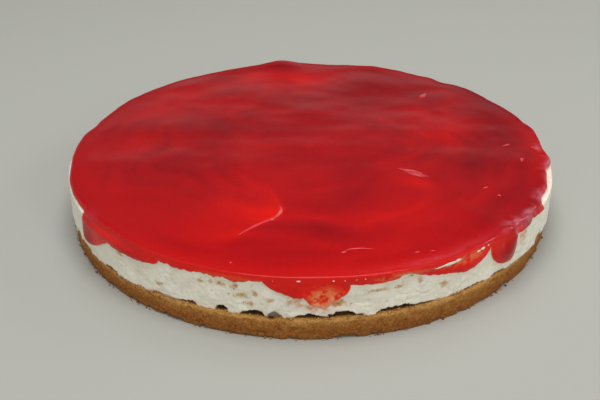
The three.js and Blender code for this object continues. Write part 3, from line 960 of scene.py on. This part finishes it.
def jelly_top(rim_inner):
    """Rings and colour depths of the top from the rim inwards. The outer rings follow the rim's
    columns, radius, height and depth, and blend into level circles with even columns."""
    rim_height, bumps = JELLY_TOP + rim_rise(columns), rim_bumps(columns)
    rows, depths = [], []
    for step in TOP_STEPS:
        radius = CREAM_RADIUS - step
        keep = 1 if step < FULL_STEPS else 2
        if step > HALF_STEPS:
            keep = 4 * 2 ** int(max(0, math.log2(CREAM_RADIUS / radius)))
        even = even_angles(COLUMNS)[::keep]
        angle = even + (columns[::keep] - even) * smooth_step(radius, *COLUMN_BLEND)
        spread = rim_inner[::keep] - step
        inward = spread + (radius - spread) * smooth_step(step, *OUTLINE_BLEND)
        points = ring(angle, inward, JELLY_TOP)
        bead = RIM_BEAD * math.exp(-((step / 1.6) ** 2))
        crest = bumps[::keep] * math.exp(-((step / 3) ** 2))
        near = rim_height[::keep]
        level = near + (jelly_surface(points) - near) * smooth_step(step, *HEIGHT_BLEND)
        points[..., 2] = level + bead + crest
        rows.append(points)
        at_rim = rim_depth(points)
        own_share = smooth_step(step, *DEPTH_BLEND)
        depths.append(at_rim + (jelly_depth(points) - at_rim) * own_share)
    return rows, depths


def jelly_topping():
    """The jelly as a solid of rings, from the hidden disc under it, out, up the side, round the rim
    and in to the middle of the top."""
    under = hidden_disc(columns, CREAM_RADIUS, lambda turn: CREAM_TOP - JELLY_SINK)
    side, side_depths, rim_inner = jelly_side()
    top, top_depths = jelly_top(rim_inner)
    points, faces = solid_of_rings([*under, *side, *top])
    hidden = np.full(sum(map(len, under)), HIDDEN_DEPTH)
    ends = [HIDDEN_DEPTH, MIDDLE_DEPTH]
    values = {
        "depth": np.concatenate([hidden, *side_depths, *top_depths, ends]),
        "painted_highlight": painted_highlight_share(points),
    }
    return new_piece("jelly_topping_sheet", points, faces, red_jelly, "jelly", **values)


def red_jelly_material():
    """Clear red fruit jelly: wet gloss over a colour that comes from its depth, from peach where it
    only films the cream, through orange-red, to crimson where it is deep. It is mottled in specks
    of 1.6 mm, and a pale pink painted highlight is mixed in where it would mirror the lamps."""
    material = emptied(bpy.data.materials.new("set_red_fruit_jelly"))
    mottled = moved(material, attribute(material, "depth"), clouds(material, 620, 3, 0.6), 0.9)
    share = remapped(material, mottled, 0.45, 6.45)
    film = [(0.01, "#f09c70"), (0.05, "#ea7448"), (0.11, "#e34a22"), (0.2, "#e6170b")]
    deep = [(0.4, "#cb140f"), (0.6, "#ab0f13"), (0.8, "#8c0b12"), (0.97, "#740913")]
    clear = coloured(material, share, film + deep)
    looks = {
        # Painted highlight: pale pink mixed into the colour along the rim and on the wrinkles.
        "Base Color": blended(material, attribute(material, "painted_highlight"), clear, linear("#bc6474")),
        "Roughness": 0.07,
        "IOR": 1.36,
        "Specular IOR Level": 0.38,
        "Subsurface Weight": 0.2,
        "Subsurface Radius": (1.0, 0.15, 0.1),
        "Subsurface Scale": 2.5 * MM,
    }
    set_skin(material, looks)
    return material


red_jelly = red_jelly_material()
jelly_piece = jelly_topping()
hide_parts("jelly_topping")

# Small wrinkles and painted glints stand on the jelly: the bright crest of the cream's fold, which
# shows salmon through a film of jelly, short pale wrinkles in its skin, and cream-coloured glints on
# its side. The wrinkles' lighter, pinker middles are partly painted highlight.
RIBBON_SIDES = 8
RIBBON_POINTS = 14
WRINKLE_END_DEPTH = 3.3
# Each wrinkle: its points as x and y in mm, its half width in mm, how deep its jelly looks at its
# middle, which paints it lighter as painted highlight, and how much pale pink painted highlight it
# has.
WRINKLES = [
    ([(-34, -97), (-29.2, -91.1), (-23.4, -85.1), (-17.4, -80.4), (-14, -74.8)], 0.85, 1.6, 0.2),
    ([(-21, -83.4), (-16.3, -79.5), (-13.9, -74.7), (-13.3, -70.9), (-15.4, -66.4)], 0.85, 0.5, 0.4),
    ([(-19.4, -81.6), (-15.8, -80.2)], 1.1, 0.9, 0.3),
    ([(46, -27), (50, -29), (55, -30.5), (60, -34)], 1, 2.6, 0.28),
    ([(49, -30), (54, -33.5), (58, -36), (62, -37)], 1.8, 2.8, 0.32),
    ([(15, -109.5), (19, -107.4), (24, -106.8), (30, -107.6)], 0.5, 1, 0.5),
    ([(14, -110.8), (17, -109.8)], 0.6, 1, 0.5), ([(47, -110.5), (50, -109.6)], 0.5, 1, 0.4),
    ([(54, -109.2), (57, -108.9)], 0.4, 1, 0.4), ([(69, 69), (73.5, 76)], 1.7, 2.4, 0.5),
    ([(107, 0), (112, 2.5)], 0.7, 1.6, 0.35),
    ([(122, -0.6), (124.6, -2.6), (126.8, -5.4)], 0.9, 1.2, 0.5),
    ([(113.8, -20), (115, -15)], 0.85, 1.4, 0.4), ([(88, -50), (91, -48)], 0.6, 1, 0.45),
    ([(94, -56.6), (96, -57.4)], 0.9, 1, 0.5), ([(-35, -119), (-34, -118)], 0.5, 1, 0.5),
]
# Each painted glint, a cream-coloured ribbon where the jelly's side would mirror a lamp: angle,
# height in mm, and length and half width in mm.
PAINTED_GLINTS = [
    (-63.5, 30.3, 8, 0.35), (-61.6, 30.55, 10, 0.65), (-59.4, 30.8, 4, 0.75),
    (-53.8, 30.8, 2.6, 0.6), (-52.6, 31.2, 3, 0.7), (-51, 31.5, 2, 0.6), (-50.6, 30.9, 1.2, 0.45),
    (-96.9, 31.3, 1, 0.35), (-92, 31.6, 1.9, 0.35), (-85.4, 31.6, 0.9, 0.35),
    (-83.2, 31.5, 0.7, 0.3), (-81, 31.6, 0.8, 0.35), (-79.3, 31.5, 0.6, 0.3),
]


def ribbon(path, normals, half_width):
    """Points and faces of one low, tapering ridge along a path. At each point the section is an
    ellipse: across the path half_width times cos, along the normal a third of it times sin."""
    share = np.linspace(0, 1, len(path))
    taper = (0.06 + 0.94 * np.sin(math.pi * share) ** 0.7) * (1 + 0.35 * noise(path, 1.7, 48))
    reach = half_width * taper[:, None, None]
    along = np.gradient(path, axis=0)
    along /= np.linalg.norm(along, axis=-1, keepdims=True)
    across = np.cross(normals, along)
    turn = 2 * math.pi * np.arange(RIBBON_SIDES) / RIBBON_SIDES
    wide = reach * np.cos(turn)[None, :, None] * across[:, None]
    high = reach / 3 * np.sin(turn)[None, :, None] * normals[:, None]
    return solid_of_rings(list(path[:, None] + wide + high))


def bent_path(corners):
    """Points along a smooth line through the corners: each coordinate is interpolated between them
    and then averaged with its neighbours."""
    places = np.linspace(0, len(corners) - 1, RIBBON_POINTS)
    path = np.stack([np.interp(places, range(len(corners)), c) for c in np.transpose(corners)], -1)
    path[1:-1] = (path[:-2] + 2 * path[1:-1] + path[2:]) / 4
    return path


def side_glint(at, height, length, half_width):
    """A painted glint: a ribbon on the jelly's side, level round the cake, a little outside the
    jelly.
    """
    angle = at + np.degrees(np.linspace(-0.5, 0.5, RIBBON_POINTS) * length / CREAM_RADIUS)
    path = ring(angle, rim_wall(angle) - 0.05, height)
    return ribbon(path, ring(angle, 1.0, 0.0), half_width)


def top_wrinkle(corners, half_width):
    """A ribbon along the corners on the jelly's top."""
    path = bent_path(corners)
    path = np.concatenate([path, 0 * path[:, :1]], axis=1)
    path[:, 2] = jelly_surface(path) + 0.03
    return ribbon(path, 0 * path + (0, 0, 1), half_width)


def joined(parts):
    """Points and faces of several closed skins as one, with each face's corners moved on."""
    starts = np.cumsum([0] + [len(points) for points, _ in parts]).tolist()
    faces = [
        [corner + start for corner in face]
        for start, (_, own_faces) in zip(starts, parts)
        for face in own_faces
    ]
    return np.concatenate([points for points, _ in parts]), faces


def jelly_wrinkles():
    """All wrinkles as one piece. Towards each one's middle the depth of jelly falls and the pale pink
    rises, as half a sine wave does, so that it fades into the jelly around it: both paint a highlight
    on the wrinkle."""
    points, faces = joined([top_wrinkle(corners, wide) for corners, wide, _, _ in WRINKLES])
    share = np.repeat(np.linspace(0, 1, RIBBON_POINTS), RIBBON_SIDES)
    fade = np.concatenate([np.sin(math.pi * share), [0, 0]])
    around = WRINKLE_END_DEPTH
    values = {
        "depth": np.concatenate([around + (least - around) * fade for _, _, least, _ in WRINKLES]),
        "painted_highlight": np.concatenate([most * fade for _, _, _, most in WRINKLES]),
    }
    return new_piece("jelly_topping_wrinkles", points, faces, red_jelly, "jelly", **values)


jelly_wrinkles()
# Painted glints: cream-coloured ribbons stand for small highlights on the jelly's side.
glint_ribbons = joined([side_glint(*glint) for glint in PAINTED_GLINTS])
new_piece("painted_glints_on_jelly", *glint_ribbons, whipped_cream, "cream")

# Loose crumbs lie along the base's ledge and foot, and stick to the cream where the knife or the
# ring dragged them up. Each is a small broken lump of biscuit with flat, uneven sides.
LEDGE_CRUMBS = 1100
FOOT_CRUMBS = 380
LUMP_SIDES = 6
LUMP_LEVELS = (-0.62, 0.0, 0.62)


def broken_lumps(middles, sizes, seed):
    """Joined lumps of 36 triangles each: three rings of points and two end points, pushed in and
    out at random, squashed, turned at random and moved to their middles."""
    draw = np.random.default_rng(seed)
    levels = [
        ring(even_angles(LUMP_SIDES) + 30 * i, math.sqrt(1 - z * z), z)
        for i, z in enumerate(LUMP_LEVELS)
    ]
    lump, faces = solid_of_rings(levels)
    count = len(middles)
    lumps = lump * draw.uniform(0.7, 1.25, (count, len(lump), 1))
    lumps = lumps * draw.uniform(0.55, 1.0, (count, 1, 3))
    turns, _ = np.linalg.qr(draw.normal(size=(count, 3, 3)))
    turns[:, 0] *= np.sign(np.linalg.det(turns))[:, None]
    lumps = np.einsum("nij,nvj->nvi", turns, lumps) * sizes[:, None, None] + middles[:, None]
    lumps[..., 2] = np.maximum(lumps[..., 2], 0)
    tone = np.repeat(draw.uniform(0.25, 1, count), len(lump))
    return *joined([(own, faces) for own in lumps]), tone


def crumb_sizes(draw, count, low, high):
    """Half sizes in mm: many small and few large ones, from the square of an even draw."""
    return low + (high - low) * draw.uniform(0, 1, count) ** 2


def loose_crumbs():
    """Crumbs on the ledge, thicker in some places than in others, and at the foot."""
    draw = np.random.default_rng(71)
    angle = draw.uniform(-180, 180, 2 * LEDGE_CRUMBS)
    gather = noise(ring(angle, BISCUIT_RADIUS, 0.0), 9, 72)
    angle = angle[gather > draw.uniform(-1.2, 0.9, len(angle))][:LEDGE_CRUMBS]
    size = crumb_sizes(draw, len(angle), 0.25, 0.8)
    out = draw.uniform(-1.9, 0.1, len(angle))
    ledge = ring(angle, biscuit_wall(angle) + out - 0.4, biscuit_surface(angle) + 0.45 * size)
    foot_angle = draw.uniform(-180, 180, FOOT_CRUMBS)
    foot_size = crumb_sizes(draw, FOOT_CRUMBS, 0.25, 0.8)
    foot_out = draw.uniform(-1.0, 0.7, FOOT_CRUMBS)
    foot = ring(foot_angle, biscuit_wall(foot_angle) + foot_out, 0.75 * foot_size)
    return np.concatenate([ledge, foot]), np.concatenate([size, foot_size])


def dragged_crumbs():
    """Crumbs on the cream: around the middle of each drag, half sunk in the wall."""
    draw = np.random.default_rng(73)
    middles, sizes = [], []
    for at, height, along, up, count in CRUMB_DRAGS:
        angle = at + np.degrees(draw.normal(0, 0.6, count) * along / CREAM_RADIUS)
        rise = height + draw.normal(0, 0.5, count) * up
        size = crumb_sizes(draw, count, 0.15, 0.45)
        keep = rise < jelly_edge(angle) - 0.3
        middles.append(ring(angle, cream_wall(angle) - 0.1 * size, rise)[keep])
        sizes.append(size[keep])
    return np.concatenate(middles), np.concatenate(sizes)


for name, (middles, sizes), seed in (
    ("biscuit_crumbs_loose", loose_crumbs(), 74),
    ("biscuit_crumbs_on_cream", dragged_crumbs(), 75),
):
    lumps, faces, tone = broken_lumps(middles, sizes, seed)
    new_piece(name, lumps, faces, biscuit_crumb, "biscuit", tone=tone, crumb=0 * tone + 0.4)

# The studio is a wide pale floor and a plain sky that is bright where the viewer stands and dim
# behind the cake, so that the jelly's top mirrors little and shows its own red.
FLOOR_RADIUS = 3000
FLOOR_SIDES = 96
FLOOR_THICKNESS = 4
floor_material = emptied(bpy.data.materials.new("matt_pale_studio_board"))
floor_looks = {"Base Color": linear("#a8a9a3"), "Roughness": 0.9, "Specular IOR Level": 0.1}
set_skin(floor_material, floor_looks)
floor_rings = [ring(even_angles(FLOOR_SIDES), FLOOR_RADIUS, z) for z in (-FLOOR_THICKNESS, 0)]
floor = new_object("floor", *solid_of_rings(floor_rings), floor_material)

world = emptied(bpy.data.worlds.new("soft_studio"))
bpy.context.scene.world = world
sky_place = add_node(world, "ShaderNodeTexCoord").outputs["Generated"]
sky_parts = add_node(world, "ShaderNodeSeparateXYZ", {"Vector": sky_place}).outputs
sky_behind = add_node(
    world,
    "ShaderNodeValToRGB",
    {"Fac": sky_parts["Z"]},
    stops=[(0, "#8c8c8c"), (0.33, "#979797"), (0.46, "#606060"), (0.57, "#464646"), (1, "#8c8c8c")],
)
sky_behind.color_ramp.interpolation = "EASE"
behind_share = remapped(world, sky_parts["Y"], -0.3, 0.6)
sky_colour = blended(world, behind_share, linear("#d6d4cf"), sky_behind.outputs["Color"])
set_skin(world, {"Color": sky_colour}, "Background", "World")

# Area lights: name, azimuth from the front in degrees, elevation, distance in m, size in m, watts.
LIGHTS = [
    ("window_right", 105, 32, 1.3, 0.55, 2.3), ("soft_top", 0, 78, 1.2, 0.9, 9),
    ("front_bar", 31, 25, 1.1, 0.22, 0.9), ("back_fill", 180, 62, 1.3, 0.6, 2),
]
for name, azimuth, elevation, distance, size, watts in LIGHTS:
    light = bpy.data.objects.new(name, bpy.data.lights.new(name, "AREA"))
    light.data.shape = "DISK"
    light.data.size = size
    light.data.energy = watts
    look_from(light, azimuth, elevation, distance)
